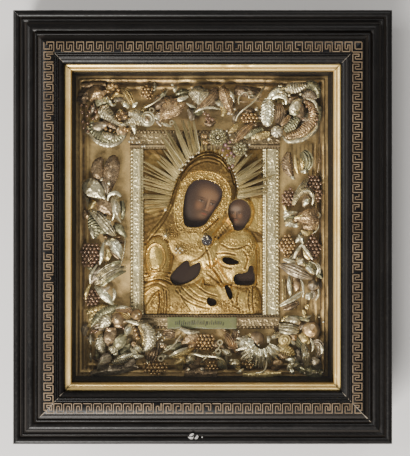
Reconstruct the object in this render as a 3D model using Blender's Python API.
"""Icon panel: a small icon in a chased metal cover, set among foil vine leaves and grapes in a deep
glazed case with a black mitred moulding and a gilt slip. It lies on its back: +Z is out of the
glass, +Y is the icon's top, and the origin is the middle of the back face."""
import bisect
import math

import bmesh
import bpy
from mathutils import Matrix, Vector

MM = 0.001
GAP = 0.0003                  # clearance left between pieces that touch
OVERCUT = 0.002               # how far a cutter runs past what it cuts

# Case and moulding
OPENING_W = 0.2770            # inside of the gilt slip, across
OPENING_H = 0.3300            # inside of the gilt slip, up
SIDE_RAIL_W = 0.0618          # outer edge to the slip's inner edge, left and right rails
END_RAIL_W = 0.0643           # the same, top and bottom rails
RAIL_RISE = 0.0240            # height of the moulding above its flat back
RAIL_OVERHANG = 0.0040        # moulding past the case walls
WALL_T = 0.0120
WALL_DEPTH = 0.0577
LINING_T = 0.0120             # boards that line the well under the glass
BACK_T = 0.0080
SLIP_W = 0.0065
SLIP_H = 0.0104
GLASS_T = 0.0030
GLASS_LAP = 0.0057            # glass carried by the lining boards on each side

# What lies in the well
GROUND_BOARD_T = 0.0237
SHEET_T = 0.0008              # gilt sheet that covers the ground board
ICON_W = 0.1350               # the painted board
ICON_H = 0.1860
ICON_PROUD = 0.0020           # painted face above the gilt sheet
ICON_X = 0.0012
ICON_Y = -0.0062
ICON_LAP = 0.0027             # silver strips over the painted board's edges
STRIP_LEFT_W = 0.0149
STRIP_RIGHT_W = 0.0185
STRIP_TOP_W = 0.0207
STRIP_BOTTOM_W = 0.0158
STRIP_RISE = 0.0036           # strip above the painted face
PLATE_W = 0.0762              # enamel title plate
PLATE_H = 0.0136
PLATE_T = 0.0012
PLATE_DROP = 0.0012           # plate's middle below the middle of the strip under it

COVER_SHEET_T = 0.0010        # chased sheet over the painted board

# Heights that follow from the stack of pieces
Z_WALL = BACK_T + GAP
Z_RAIL = Z_WALL + WALL_DEPTH + GAP
Z_GROUND = Z_WALL + GROUND_BOARD_T + GAP
Z_SHEET_TOP = Z_GROUND + SHEET_T
Z_ORNAMENT = Z_SHEET_TOP + GAP
Z_PAINT = Z_SHEET_TOP + ICON_PROUD
Z_COVER = Z_PAINT + GAP
Z_STRIP_TOP = Z_PAINT + STRIP_RISE
Z_OVER_STRIP = Z_STRIP_TOP + GAP
Z_GLASS = Z_WALL + WALL_DEPTH + GAP
Z_SLIP = Z_GLASS + GLASS_T + GAP

HALF_W = OPENING_W / 2 + SIDE_RAIL_W
HALF_H = OPENING_H / 2 + END_RAIL_W
CASE_X = HALF_W - RAIL_OVERHANG
CASE_Y = HALF_H - RAIL_OVERHANG
WINDOW_LEFT = ICON_X - ICON_W / 2 + ICON_LAP
WINDOW_RIGHT = ICON_X + ICON_W / 2 - ICON_LAP
WINDOW_TOP = ICON_Y + ICON_H / 2 - ICON_LAP
WINDOW_BOTTOM = ICON_Y - ICON_H / 2 + ICON_LAP
STRIPS_LEFT = WINDOW_LEFT - STRIP_LEFT_W
STRIPS_RIGHT = WINDOW_RIGHT + STRIP_RIGHT_W
STRIPS_TOP = WINDOW_TOP + STRIP_TOP_W
STRIPS_BOTTOM = WINDOW_BOTTOM - STRIP_BOTTOM_W

# What stands in the well is drawn in mm on one sheet. These are the same edges on the drawing and
# in the model: wall, strip, window, window, strip, wall
DRAWN_X = (-138.5, -78.5, -63.6, 66.0, 84.5, 138.5)
DRAWN_Y = (-165.0, -112.3, -96.5, 84.1, 104.8, 165.0)
MODEL_X = (-OPENING_W / 2, STRIPS_LEFT, WINDOW_LEFT, WINDOW_RIGHT, STRIPS_RIGHT, OPENING_W / 2)
MODEL_Y = (-OPENING_H / 2, STRIPS_BOTTOM, WINDOW_BOTTOM, WINDOW_TOP, STRIPS_TOP, OPENING_H / 2)

# Finishes: colour, metallic, roughness
FINISHES = {
    "ebonised_wood": ((0.012, 0.011, 0.011), 0.0, 0.35),
    "gilt_slip": ((0.72, 0.55, 0.28), 1.0, 0.32),
    "bare_wood": ((0.30, 0.20, 0.12), 0.0, 0.75),
    "clear_glass": ((0.85, 0.87, 0.86), 0.0, 0.05),
    "painted_panel": ((0.09, 0.05, 0.03), 0.0, 0.45),
    "gilt_brass": ((0.60, 0.44, 0.22), 1.0, 0.30),
    "silver_foil": ((0.66, 0.65, 0.60), 1.0, 0.28),
    "copper_foil": ((0.50, 0.30, 0.19), 1.0, 0.34),
    "grape_beads": ((0.34, 0.21, 0.10), 1.0, 0.25),
    "green_enamel": ((0.42, 0.55, 0.38), 0.0, 0.25),
}


def clear_scene():
    for old in list(bpy.data.objects):
        bpy.data.objects.remove(old, do_unlink=True)


def new_collection(name):
    group = bpy.data.collections.new(name)
    bpy.context.scene.collection.children.link(group)
    return group


def finish_material(name):
    found = bpy.data.materials.get(name)
    if found:
        return found
    colour, metallic, roughness = FINISHES[name]
    material = bpy.data.materials.new(name)
    material.use_nodes = True
    shader = material.node_tree.nodes["Principled BSDF"]
    shader.inputs["Base Color"].default_value = (*colour, 1.0)
    shader.inputs["Metallic"].default_value = metallic
    shader.inputs["Roughness"].default_value = roughness
    return material


clear_scene()
PARTS = new_collection("icon_panel")
CUTTERS = new_collection("cutters")


def add_part(name, mesh, finish):
    part = bpy.data.objects.new(name, mesh)
    part.data.materials.append(finish_material(finish))
    PARTS.objects.link(part)
    return part


def mesh_from(bm, name):
    bmesh.ops.recalc_face_normals(bm, faces=bm.faces)
    mesh = bpy.data.meshes.new(name)
    bm.to_mesh(mesh)
    bm.free()
    return mesh


def box_bmesh(x0, x1, y0, y1, z0, z1):
    bm = bmesh.new()
    place = Matrix.Translation(((x0 + x1) / 2, (y0 + y1) / 2, (z0 + z1) / 2))
    size = Matrix.Diagonal((x1 - x0, y1 - y0, z1 - z0, 1.0))
    bmesh.ops.create_cube(bm, size=1.0, matrix=place @ size)
    return bm


def box(name, finish, x0, x1, y0, y1, z0, z1):
    return add_part(name, mesh_from(box_bmesh(x0, x1, y0, y1, z0, z1), name), finish)


def cutter(name, bm):
    tool = bpy.data.objects.new(name, mesh_from(bm, name))
    tool.hide_render = True
    tool.display_type = "WIRE"
    CUTTERS.objects.link(tool)
    return tool


def boolean(part, tool, operation):
    step = part.modifiers.new(tool.name, "BOOLEAN")
    step.operation = operation
    step.solver = "EXACT"
    step.object = tool
    return step


def carried(value, drawn, model):
    """A place on the drawing, in mm, carried over to the model by the edges on both sides of it."""
    spot = min(max(bisect.bisect_right(drawn, value) - 1, 0), len(drawn) - 2)
    share = (value - drawn[spot]) / (drawn[spot + 1] - drawn[spot])
    return model[spot] + share * (model[spot + 1] - model[spot])


def lay_out(bm, floor):
    """Carry a form drawn in mm over to the model and stand it on that height."""
    for vert in bm.verts:
        x, y, height = vert.co
        vert.co = (carried(x, DRAWN_X, MODEL_X), carried(y, DRAWN_Y, MODEL_Y), floor + height * MM)
    return bm


def prism_bmesh(outline, z0, z1):
    """A flat outline, drawn in mm, raised from z0 to z1."""
    bm = bmesh.new()
    base = bm.faces.new([bm.verts.new((carried(x, DRAWN_X, MODEL_X), carried(y, DRAWN_Y, MODEL_Y), z0))
                         for x, y in outline])
    raised = bmesh.ops.extrude_face_region(bm, geom=[base])["geom"]
    for vert in (item for item in raised if isinstance(item, bmesh.types.BMVert)):
        vert.co.z = z1
    return bm


# Case: back board, walls, lining boards, ground board
def build_case():
    box("back_board", "bare_wood", -CASE_X, CASE_X, -CASE_Y, CASE_Y, 0.0, BACK_T)
    layers = (("wall", "ebonised_wood", CASE_X, CASE_Y, WALL_T),
              ("lining", "ebonised_wood", OPENING_W / 2 + LINING_T, OPENING_H / 2 + LINING_T, LINING_T))
    for kind, finish, half_x, half_y, thick in layers:
        for side, sign in (("left", -1), ("right", 1)):
            near, far = sorted((sign * half_x, sign * (half_x - thick)))
            box(f"{side}_{kind}", finish, near, far, -half_y, half_y, Z_WALL, Z_WALL + WALL_DEPTH)
        for side, sign in (("bottom", -1), ("top", 1)):
            near, far = sorted((sign * half_y, sign * (half_y - thick)))
            reach = half_x - thick - GAP
            box(f"{side}_{kind}", finish, -reach, reach, near, far, Z_WALL, Z_WALL + WALL_DEPTH)
    half_x = OPENING_W / 2 - GAP
    half_y = OPENING_H / 2 - GAP
    ground_board = box("ground_board", "bare_wood", -half_x, half_x, -half_y, half_y,
                       Z_WALL, Z_WALL + GROUND_BOARD_T)
    sheet = box("ground_sheet", "gilt_brass", -half_x, half_x, -half_y, half_y, Z_GROUND, Z_SHEET_TOP)
    window = cutter("icon_window", box_bmesh(ICON_X - ICON_W / 2 - GAP, ICON_X + ICON_W / 2 + GAP,
                                             ICON_Y - ICON_H / 2 - GAP, ICON_Y + ICON_H / 2 + GAP,
                                             Z_WALL - OVERCUT, Z_SHEET_TOP + OVERCUT))
    for part in (ground_board, sheet):
        boolean(part, window, "DIFFERENCE")
    box("icon_board", "painted_panel", ICON_X - ICON_W / 2, ICON_X + ICON_W / 2,
        ICON_Y - ICON_H / 2, ICON_Y + ICON_H / 2, Z_WALL, Z_PAINT)
    lap_x = OPENING_W / 2 + GLASS_LAP
    lap_y = OPENING_H / 2 + GLASS_LAP
    box("glass_pane", "clear_glass", -lap_x, lap_x, -lap_y, lap_y, Z_GLASS, Z_GLASS + GLASS_T)


def arc_points(centre, radius, start, end, steps):
    for step in range(steps + 1):
        angle = math.radians(start + (end - start) * step / steps)
        yield centre[0] + radius * math.cos(angle), centre[1] + radius * math.sin(angle)


def rail_profile():
    """Section of the moulding, drawn in mm from outside in, as shares of its width and of its rise."""
    points = [(0.0, 0.0)]
    points += arc_points((4.0, 6.6), 4.0, 180, 20, 5)            # outer bead
    points += [(8.8, 8.6), (9.4, 10.4), (10.8, 10.2)]            # first fillet
    points += [(12.6, 9.6), (14.6, 11.0)]                        # cove
    points += arc_points((19.4, 12.0), 4.4, 160, 35, 4)          # broad torus
    points += [(24.2, 15.0), (25.2, 18.2), (27.0, 18.4)]         # second fillet
    points += [(28.4, 17.4), (29.8, 20.8), (31.8, 22.0)]         # step up to the band
    points += [(33.2, 23.2), (45.2, 24.0)]                       # flat of the key band
    points += [(45.7, 22.2), (46.4, 23.6), (47.6, 22.6)]         # double bead
    points += [(48.6, 22.9), (49.8, 21.4)]
    points += [(52.2, 19.6), (54.7, 15.2)]                       # cavetto down to the slip
    points += [(54.7, 0.0)]
    drawn_w = max(w for w, h in points)
    drawn_h = max(h for w, h in points)
    return [(w / drawn_w, h / drawn_h) for w, h in points]


def slip_profile():
    """Section of the gilt slip: two rounded edges with a shallow hollow between them."""
    return [(0.0, 0.0), (0.0, 0.86), (0.12, 0.98), (0.30, 1.0), (0.45, 0.90), (0.62, 0.89),
            (0.78, 0.98), (0.92, 0.94), (1.0, 0.80), (1.0, 0.0)]


def mitred_length(name, finish, section, side):
    """One side of a mitred frame: a section drawn out past the corners and cut on both mitres.
    The section holds (distance from the outer edge, height) in metres for this side."""
    upright = side in ("left", "right")
    sign = -1 if side in ("left", "bottom") else 1
    edge = HALF_W if upright else HALF_H
    reach = (HALF_H if upright else HALF_W) + OVERCUT
    bm = bmesh.new()
    ring = []
    for w, z in section:
        across = sign * (edge - w)
        ring.append(bm.verts.new((across, -reach, z) if upright else (-reach, across, z)))
    drawn = bmesh.ops.extrude_face_region(bm, geom=[bm.faces.new(ring)])["geom"]
    along = Vector((0, 2 * reach, 0)) if upright else Vector((2 * reach, 0, 0))
    moved = [item for item in drawn if isinstance(item, bmesh.types.BMVert)]
    bmesh.ops.translate(bm, vec=along, verts=moved)
    for end in (-1, 1):
        corner = Vector((sign * HALF_W, end * HALF_H, 0)) if upright else \
            Vector((end * HALF_W, sign * HALF_H, 0))
        mitre = Vector((math.copysign(SIDE_RAIL_W, corner.x), math.copysign(END_RAIL_W, corner.y), 0))
        normal = Vector((-mitre.y, mitre.x, 0)).normalized()
        middle = Vector((corner.x, 0, 0)) if upright else Vector((0, corner.y, 0))
        if normal.dot(middle - corner) > 0:
            normal.negate()
        cut = bmesh.ops.bisect_plane(bm, geom=bm.verts[:] + bm.edges[:] + bm.faces[:],
                                     plane_co=corner - normal * GAP / 2, plane_no=normal,
                                     clear_outer=True)["geom_cut"]
        bmesh.ops.contextual_create(bm, geom=[item for item in cut
                                              if isinstance(item, bmesh.types.BMEdge)])
    return add_part(name, mesh_from(bm, name), finish)


# Moulding and slip, four mitred lengths each
def build_frame():
    for side in ("left", "right", "top", "bottom"):
        width = SIDE_RAIL_W if side in ("left", "right") else END_RAIL_W
        rail_w = width - SLIP_W - GAP
        rail = [(w * rail_w, Z_RAIL + h * RAIL_RISE) for w, h in rail_profile()]
        slip = [(width - SLIP_W + w * SLIP_W, Z_SLIP + h * SLIP_H) for w, h in slip_profile()]
        mitred_length(f"{side}_rail", "ebonised_wood", rail, side)
        mitred_length(f"{side}_slip", "gilt_slip", slip, side)


# Silver strips round the window and the enamel plate on the lowest one
def build_window():
    edges = {
        "left": (STRIPS_LEFT, WINDOW_LEFT, WINDOW_BOTTOM + GAP, WINDOW_TOP - GAP),
        "right": (WINDOW_RIGHT, STRIPS_RIGHT, WINDOW_BOTTOM + GAP, WINDOW_TOP - GAP),
        "top": (STRIPS_LEFT, STRIPS_RIGHT, WINDOW_TOP, STRIPS_TOP),
        "bottom": (STRIPS_LEFT, STRIPS_RIGHT, STRIPS_BOTTOM, WINDOW_BOTTOM),
    }
    rebate = cutter("icon_edge", box_bmesh(ICON_X - ICON_W / 2 - GAP, ICON_X + ICON_W / 2 + GAP,
                                           ICON_Y - ICON_H / 2 - GAP, ICON_Y + ICON_H / 2 + GAP,
                                           Z_SHEET_TOP - OVERCUT, Z_PAINT + GAP))
    for side, (x0, x1, y0, y1) in edges.items():
        strip = box(f"{side}_strip", "silver_foil", x0, x1, y0, y1, Z_ORNAMENT, Z_STRIP_TOP)
        boolean(strip, rebate, "DIFFERENCE")
    plate_y = WINDOW_BOTTOM - STRIP_BOTTOM_W / 2 - PLATE_DROP
    box("title_plate", "green_enamel", -PLATE_W / 2, PLATE_W / 2, plate_y - PLATE_H / 2,
        plate_y + PLATE_H / 2, Z_OVER_STRIP, Z_OVER_STRIP + PLATE_T)


# Forms of the two figures as drawn: centre, radii, height, folds round the form, depth of a fold as
# a share of the radius
FIGURE_FORMS = {
    "veil": ((5.0, 29.0), (36.0, 50.0), 13.0, 0, 0.0),
    "veil_fall": ((-27.0, -13.0), (26.0, 24.0), 9.0, 7, 0.04),
    "sleeve": ((-41.0, -31.0), (16.0, 25.0), 15.0, 5, 0.04),
    "forearm": ((-36.0, -62.0), (26.0, 18.0), 11.0, 7, 0.05),
    "breast": ((2.0, -22.0), (33.0, 32.0), 9.0, 9, 0.04),
    "lap": ((-8.0, -74.0), (53.0, 20.0), 9.0, 11, 0.05),
    "child_head": ((40.5, 12.0), (16.5, 20.0), 8.0, 0, 0.0),
    "child_body": ((42.0, -32.0), (22.0, 30.0), 13.5, 7, 0.05),
    "child_knees": ((33.0, -70.0), (30.0, 24.0), 11.5, 9, 0.05),
}
FORM_SIDES = 20
FORM_RINGS = 6
# Openings over the painted flesh as drawn: centre, radii, turn in degrees
OPENINGS = {
    "mother_face": ((1.5, 24.0), (19.0, 25.5), -16.0),
    "child_face": ((40.5, 12.5), (12.2, 16.5), 0.0),
    "mother_hand": ((-17.5, -51.5), (16.5, 8.5), 32.0),
    "child_hand": ((30.5, -38.0), (8.8, 3.8), -12.0),
    "scroll_hand": ((46.5, -56.5), (10.5, 6.0), 0.0),
    "fingers": ((29.3, -71.7), (3.2, 7.0), 30.0),
    "foot": ((10.8, -82.6), (5.5, 4.6), 0.0),
}
OPENING_SIDES = 14
COVER_EDGE = 0.0006           # the figures stay this far inside the cover's sheet


def form_bmesh(centre, radii, height, folds, fold_depth):
    """Half of a folded ellipsoid standing on the cover's sheet, cut to the sheet's edges."""
    bm = bmesh.new()
    bmesh.ops.create_uvsphere(bm, u_segments=FORM_SIDES, v_segments=FORM_RINGS, radius=1.0)
    for vert in bm.verts:
        angle = math.atan2(vert.co.y, vert.co.x)
        swell = 1.0 + fold_depth * math.cos(folds * angle) if folds else 1.0
        vert.co.x = centre[0] + radii[0] * swell * vert.co.x
        vert.co.y = centre[1] + radii[1] * swell * vert.co.y
        vert.co.z = height * swell * vert.co.z
    lay_out(bm, Z_COVER + COVER_SHEET_T / 2)
    inset = GAP + COVER_EDGE
    cuts = ((Vector((0, 0, Z_COVER + COVER_SHEET_T / 2)), Vector((0, 0, -1))),
            (Vector((WINDOW_LEFT + inset, 0, 0)), Vector((-1, 0, 0))),
            (Vector((WINDOW_RIGHT - inset, 0, 0)), Vector((1, 0, 0))),
            (Vector((0, WINDOW_BOTTOM + inset, 0)), Vector((0, -1, 0))),
            (Vector((0, WINDOW_TOP - inset, 0)), Vector((0, 1, 0))))
    for point, normal in cuts:
        cut = bmesh.ops.bisect_plane(bm, geom=bm.verts[:] + bm.edges[:] + bm.faces[:], plane_co=point,
                                     plane_no=normal, clear_outer=True)["geom_cut"]
        rim = [item for item in cut if isinstance(item, bmesh.types.BMEdge)]
        if rim:
            bmesh.ops.contextual_create(bm, geom=rim)
    return bm


def drop_to_floor(bm):
    """Close an open relief surface, drawn in mm, with upright sides and one flat face at height 0."""
    drawn = bmesh.ops.extrude_face_region(bm, geom=bm.faces[:])["geom"]
    lower = [item for item in drawn if isinstance(item, bmesh.types.BMVert)]
    for vert in lower:
        vert.co.z = 0.0
    below = [face for face in bm.faces if all(abs(vert.co.z) < 1e-6 for vert in face.verts)]
    bmesh.ops.dissolve_faces(bm, faces=below)


def ellipse(centre, radii, turn, sides):
    spin = math.radians(turn)
    for step in range(sides):
        angle = 2 * math.pi * step / sides
        x = radii[0] * math.cos(angle)
        y = radii[1] * math.sin(angle)
        yield (centre[0] + x * math.cos(spin) - y * math.sin(spin),
               centre[1] + x * math.sin(spin) + y * math.cos(spin))


# Chased cover: a sheet with the figures raised on it, cut open over the painted flesh
def build_cover():
    cover = box("chased_cover", "gilt_brass", WINDOW_LEFT + GAP, WINDOW_RIGHT - GAP,
                WINDOW_BOTTOM + GAP, WINDOW_TOP - GAP, Z_COVER, Z_COVER + COVER_SHEET_T)
    for name, form in FIGURE_FORMS.items():
        boolean(cover, cutter(name, form_bmesh(*form)), "UNION")
    for name, (centre, radii, turn) in OPENINGS.items():
        outline = list(ellipse(centre, radii, turn, OPENING_SIDES))
        tool = cutter(f"{name}_opening", prism_bmesh(outline, Z_COVER - OVERCUT, Z_GLASS))
        boolean(cover, tool, "DIFFERENCE")


def fan_bmesh(centre, inner, outer, start, end, blades, thick, ridge, valley):
    """A fluted fan drawn in mm: blades with ridges between two angles in degrees, inner and outer
    being functions of the angle, and valley the share of the blade's length between notches."""
    bm = bmesh.new()
    rows = []
    for step in range(2 * blades + 1):
        angle = math.radians(start + (end - start) * step / (2 * blades))
        on_ridge = step % 2 == 1
        r0 = inner(angle)
        r1 = outer(angle) if on_ridge else r0 + (outer(angle) - r0) * valley
        lift = thick + (ridge if on_ridge else 0.0)
        across = (math.cos(angle), math.sin(angle))
        rows.append([bm.verts.new((centre[0] + r * across[0], centre[1] + r * across[1], h))
                     for r, h in ((r0, thick + ridge), (r1, lift))])
    for first, second in zip(rows, rows[1:]):
        bm.faces.new((first[0], first[1], second[1], second[0]))
    bmesh.ops.remove_doubles(bm, verts=bm.verts, dist=WELD)
    drop_to_floor(bm)
    return bm


# Halo and rosette as drawn, in mm and degrees
WELD = 0.03                   # corners closer than this are one
HEAD = (5.0, 30.0)            # middle of the veil and of the rays
VEIL_RX = 36.0
VEIL_RY = 50.0
RAY_CLEAR = 3.0               # between the veil and the inner ends of the rays
RAY_LENGTH = 33.0
RAY_COUNT = 21
RAYS_FROM = 6.0
RAYS_TO = 202.0
RAY_T = 2.2
RAY_RIDGE = 2.2
RAY_VALLEY = 0.72
ROSETTE = (17.0, 95.0)
ROSETTE_R = 10.5
ROSETTE_HUB_R = 3.0
ROSETTE_PETALS = 8
ROSETTE_T = 3.0
ROSETTE_RIDGE = 1.8
ROSETTE_VALLEY = 0.75


def veil_radius(angle):
    """Distance from the head's middle to the rays' inner ends."""
    rx = VEIL_RX + RAY_CLEAR
    ry = VEIL_RY + RAY_CLEAR
    return rx * ry / math.hypot(ry * math.cos(angle), rx * math.sin(angle))


def build_halo():
    rays = fan_bmesh(HEAD, veil_radius, lambda angle: veil_radius(angle) + RAY_LENGTH,
                     RAYS_FROM, RAYS_TO, RAY_COUNT, RAY_T, RAY_RIDGE, RAY_VALLEY)
    lay_out(rays, Z_OVER_STRIP)
    add_part("halo_rays", mesh_from(rays, "halo_rays"), "gilt_brass")
    petals = fan_bmesh(ROSETTE, lambda angle: ROSETTE_HUB_R, lambda angle: ROSETTE_R, 0.0, 360.0,
                       ROSETTE_PETALS, ROSETTE_T, ROSETTE_RIDGE, ROSETTE_VALLEY)
    lay_out(petals, Z_OVER_STRIP + (RAY_T + RAY_RIDGE) * MM + GAP)
    add_part("crown_rosette", mesh_from(petals, "crown_rosette"), "gilt_brass")


# Foil leaves as drawn: x, y, length, width, turn of the tip in degrees, height, points on one edge
LEAVES = {
    "brown_leaf_left": (-106, 66, 31, 29, 80, 14, 3, "copper_foil"),
    "round_leaf_left": (-121, 38, 25, 22, 120, 12, 0, "silver_foil"),
    "folded_leaf_left": (-90, 33, 32, 15, 95, 18, 0, "silver_foil"),
    "long_leaf_left": (-107, 3, 46, 19, 130, 19, 2, "silver_foil"),
    "broad_leaf_left": (-93, -26, 24, 19, 150, 20, 2, "silver_foil"),
    "ribbed_leaf_left": (-106, -56, 43, 17, 35, 17, 2, "silver_foil"),
    "tulip_leaf_right": (106, 67, 36, 30, 95, 20, 1, "gilt_brass"),
    "silver_leaf_right": (118, 34, 28, 20, 20, 19, 0, "silver_foil"),
    "copper_leaf_right": (115, 8, 32, 21, 15, 17, 2, "copper_foil"),
    "curved_leaf_right": (106, -47, 42, 15, -22, 17, 0, "silver_foil"),
    "copper_leaf_top": (-35, 131, 40, 21, 195, 16, 2, "copper_foil"),
    "pale_leaf_top": (-5, 143, 29, 26, -80, 15, 3, "silver_foil"),
    "lobed_leaf_top": (25, 138, 38, 21, -78, 18, 3, "copper_foil"),
    "gold_leaf_bottom": (-19, -146, 34, 19, 195, 17, 3, "gilt_brass"),
}
LEAF_LENGTH_STEPS = 6
LEAF_WIDTH_STEPS = 4
LEAF_EDGE = 3.0               # height of a leaf's rim above the ground, in mm
LEAF_STALK = 0.22             # shares of a leaf's full width: at the stalk
LEAF_TIP = 0.03               # at the tip
LEAF_BAY = 0.14               # depth of the bays between its points
LEAF_GROOVE = 0.82            # shares of a leaf's height: along the midrib
LEAF_DROOP = 0.75             # what its long edges lose
LEAF_ARCH = 0.70              # part of half a turn that its back bends through


def leaf_half_width(along, points):
    """Half width of a leaf, as a share of its full half width, from stalk (0) to tip (1)."""
    swell = math.sin(math.pi * min(1.0, 0.12 + 0.88 * along)) ** 0.7
    bay = 1.0 - LEAF_BAY * (1.0 - math.cos(2 * math.pi * points * along)) if points else 1.0
    return max(LEAF_STALK * (1.0 - along), swell * bay, LEAF_TIP)


def leaf_bmesh(x, y, length, width, turn, height, points):
    bm = bmesh.new()
    spin = Matrix.Rotation(math.radians(turn), 4, "Z")
    bmesh.ops.create_grid(bm, x_segments=LEAF_LENGTH_STEPS, y_segments=LEAF_WIDTH_STEPS, size=0.5)
    for vert in bm.verts:
        along = vert.co.x + 0.5
        across = vert.co.y * 2
        half = leaf_half_width(along, points) * width / 2
        bend = math.sin(math.pi * (0.5 + LEAF_ARCH * (along - 0.5)))
        rise = bend * (1.0 - LEAF_DROOP * abs(across) ** 1.5)
        groove = LEAF_GROOVE if abs(across) < 0.01 else 1.0
        vert.co = spin @ Vector(((along - 0.5) * length, across * half, 0)) + Vector((x, y, 0))
        vert.co.z = LEAF_EDGE + (height - LEAF_EDGE) * rise * groove
    drop_to_floor(bm)
    return lay_out(bm, Z_ORNAMENT)


def build_leaves():
    for name, (x, y, length, width, turn, height, points, finish) in LEAVES.items():
        leaf = leaf_bmesh(x, y, length, width, turn, height, points)
        add_part(name, mesh_from(leaf, name), finish)


# Bunches of grapes as drawn: x, y, radius across and up
GRAPES = {
    "grapes_left_upper": (-122, -30, 12, 13),
    "grapes_left_lower": (-121, -83, 12, 11),
    "grapes_right_top": (93, 33, 8, 13),
    "grapes_right_middle": (93, -14, 8, 13),
    "grapes_right_outer": (121, -20, 11, 13),
    "grapes_right_dark": (120, -71, 11, 10),
    "grapes_top_left": (-91, 150, 13, 9),
    "grapes_top_right": (54, 121, 11, 11),
    "grapes_bottom_left": (-50, -150, 11, 11),
    "grapes_bottom_middle": (8, -128, 15, 11),
}
BERRY_R = 3.1
BERRY_SIDES = 6
BERRY_RINGS = 3
BERRY_OVERLAP = 0.12          # share of a berry's radius by which neighbours press together
ROW_SHARE = 0.87              # distance between rows as a share of that between berries
BUNCH_HEIGHT = 16.0           # middle berries above the ground
BUNCH_LOW = 0.40              # how high the outer berries sit, as a share of that
BUNCH_SWELL = 0.38            # how much more the middle ones have
CORE_SHARE = 0.55             # height of the mound that carries the berries, as a share
CORE_SIDES = 8
CORE_TAPER = 0.85


def berry_places(x, y, rx, ry):
    """Close-packed rows of berries inside an ellipse, and how far inward each one is."""
    pitch = 2 * BERRY_R * (1 - BERRY_OVERLAP)
    reach_x = rx - BERRY_R
    reach_y = ry - BERRY_R
    rows = int(reach_y / (pitch * ROW_SHARE))
    for row in range(-rows, rows + 1):
        shift = pitch / 2 if row % 2 else 0.0
        count = int((reach_x + shift) / pitch) + 1
        for place in range(-count, count + 1):
            dx = place * pitch + shift
            dy = row * pitch * ROW_SHARE
            out = (dx / reach_x) ** 2 + (dy / reach_y) ** 2
            if out <= 1.02:
                yield x + dx, y + dy, max(0.0, 1.0 - out)


def build_grapes():
    for name, (x, y, rx, ry) in GRAPES.items():
        core = bmesh.new()
        core_height = BUNCH_HEIGHT * CORE_SHARE
        middle = Matrix.Translation((x, y, core_height / 2))
        shape = Matrix.Diagonal((rx - BERRY_R / 2, ry - BERRY_R / 2, core_height, 1.0))
        bmesh.ops.create_cone(core, cap_ends=True, segments=CORE_SIDES, radius1=1.0,
                              radius2=CORE_TAPER, depth=1.0, matrix=middle @ shape)
        lay_out(core, Z_ORNAMENT)
        bunch = add_part(name, mesh_from(core, name), "grape_beads")
        berries = bpy.data.collections.new(f"{name}_berries")
        CUTTERS.children.link(berries)
        for number, (bx, by, inward) in enumerate(berry_places(x, y, rx, ry)):
            bm = bmesh.new()
            lift = BERRY_R + (BUNCH_HEIGHT - 2 * BERRY_R) * (BUNCH_LOW + BUNCH_SWELL * inward)
            bmesh.ops.create_uvsphere(bm, u_segments=BERRY_SIDES, v_segments=BERRY_RINGS,
                                      radius=BERRY_R, matrix=Matrix.Translation((bx, by, lift)))
            lay_out(bm, Z_ORNAMENT)
            berry = bpy.data.objects.new(f"{name}_berry_{number}", mesh_from(bm, f"{name}_berry"))
            berry.hide_render = True
            berry.display_type = "WIRE"
            berries.objects.link(berry)
        fuse = bunch.modifiers.new("berries", "BOOLEAN")
        fuse.operation = "UNION"
        fuse.solver = "EXACT"
        fuse.operand_type = "COLLECTION"
        fuse.collection = berries


def tube_bmesh(points, radius):
    """A round wire along points drawn in mm, lying on the ground sheet."""
    curve = bpy.data.curves.new("wire", "CURVE")
    curve.dimensions = "3D"
    curve.bevel_depth = radius
    curve.bevel_resolution = 1
    curve.use_fill_caps = True
    spline = curve.splines.new("POLY")
    spline.points.add(len(points) - 1)
    for knot, (x, y) in zip(spline.points, points):
        knot.co = (x, y, radius, 1.0)
    wire = bpy.data.objects.new("wire", curve)
    bpy.context.scene.collection.objects.link(wire)
    seen = wire.evaluated_get(bpy.context.evaluated_depsgraph_get())
    mesh = bpy.data.meshes.new_from_object(seen)
    bm = bmesh.new()
    bm.from_mesh(mesh)
    bmesh.ops.remove_doubles(bm, verts=bm.verts, dist=WELD)
    bpy.data.objects.remove(wire, do_unlink=True)
    bpy.data.meshes.remove(mesh)
    return lay_out(bm, Z_ORNAMENT)


def smooth_route(points, steps):
    """Points on a smooth line through the given ones, steps to each stretch."""
    route = []
    ends = [points[0], *points, points[-1]]
    for first, start, end, last in zip(ends, ends[1:], ends[2:], ends[3:]):
        for step in range(steps):
            t = step / steps
            weights = (-t + 2 * t * t - t ** 3, 2 - 5 * t * t + 3 * t ** 3,
                       t + 4 * t * t - 3 * t ** 3, -t * t + t ** 3)
            route.append(tuple(sum(w * p[axis] for w, p in zip(weights, (first, start, end, last))) / 2
                               for axis in (0, 1)))
    return route + [points[-1]]


# Corner cartouches as drawn: shell fan (centre, outer radius, from and to angle), scroll's route
CARTOUCHES = {
    "cartouche_top_left": ((-103, 113), 20, 190, 350,
                           ((-118, 124), (-110, 119), (-101, 113), (-88, 114), (-75, 116), (-63, 115))),
    "cartouche_top_right": ((104, 119), 24, 195, 350,
                            ((83, 110), (72, 116), (69, 130), (76, 144), (92, 146), (103, 136), (104, 122))),
    "cartouche_bottom_left": ((-80, -124), 22, -80, 60,
                              ((-80, -124), (-92, -118), (-103, -124), (-106, -137), (-97, -147), (-86, -145))),
    "cartouche_bottom_right": ((112, -124), 22, 140, 290,
                               ((112, -124), (122, -115), (131, -123), (130, -138), (120, -147), (107, -149))),
}
SHELL_BLADES = 7
SHELL_HUB_R = 2.0
SHELL_T = 5.0
SHELL_RIDGE = 4.0
SHELL_VALLEY = 0.86
SCROLL_R = 3.6
SCROLL_STEPS = 2
SCROLL_EYE_R = 6.8
EYE_SIDES = 8
EYE_RINGS = 6
STEM_R = 1.2
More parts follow.
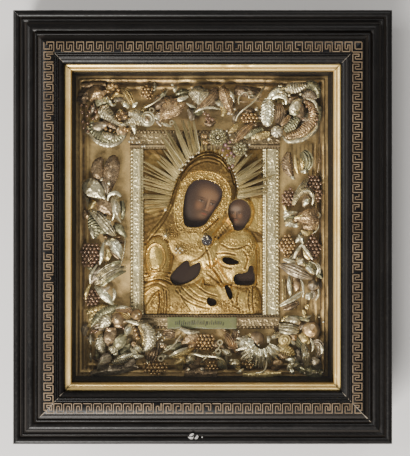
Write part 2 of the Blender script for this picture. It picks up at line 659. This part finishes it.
STEM_STEPS = 3
STEMS = {
    "stem_top": ((72, 154), (64, 148), (56, 139), (46, 137)),
    "stem_bottom": ((0, -147), (10, -146), (20, -150), (29, -156), (40, -157)),
}
SHELL_LEAF = ((62, -120), 24, 175, 365)


def shell_bmesh(centre, outer, start, end, blades):
    shell = fan_bmesh(centre, lambda angle: SHELL_HUB_R, lambda angle: outer, start, end, blades,
                      SHELL_T, SHELL_RIDGE, SHELL_VALLEY)
    return lay_out(shell, Z_ORNAMENT)


def build_cartouches():
    over_strips = cutter("strip_clearance", box_bmesh(STRIPS_LEFT - GAP, STRIPS_RIGHT + GAP,
                                                      STRIPS_BOTTOM - GAP, STRIPS_TOP + GAP,
                                                      Z_GROUND, Z_OVER_STRIP))
    for name, (centre, outer, start, end, route) in CARTOUCHES.items():
        shell = shell_bmesh(centre, outer, start, end, SHELL_BLADES)
        part = add_part(name, mesh_from(shell, name), "silver_foil")
        scroll = cutter(f"{name}_scroll", tube_bmesh(smooth_route(route, SCROLL_STEPS), SCROLL_R))
        boolean(part, scroll, "UNION")
        bm = bmesh.new()
        x, y = max(route[:1] + route[-1:], key=lambda end: math.dist(end, centre))
        bmesh.ops.create_uvsphere(bm, u_segments=EYE_SIDES, v_segments=EYE_RINGS, radius=SCROLL_EYE_R,
                                  matrix=Matrix.Translation((x, y, SCROLL_EYE_R)))
        lay_out(bm, Z_ORNAMENT)
        boolean(part, cutter(f"{name}_eye", bm), "UNION")
        boolean(part, over_strips, "DIFFERENCE")


def build_stems():
    for name, route in STEMS.items():
        stem = tube_bmesh(smooth_route(route, STEM_STEPS), STEM_R)
        add_part(name, mesh_from(stem, name), "silver_foil")
    centre, outer, start, end = SHELL_LEAF
    shell = shell_bmesh(centre, outer, start, end, 2 * SHELL_BLADES)
    add_part("shell_leaf_bottom", mesh_from(shell, "shell_leaf_bottom"), "silver_foil")


build_case()
build_frame()
build_window()
build_cover()
build_halo()
build_leaves()
build_grapes()
build_cartouches()
build_stems()
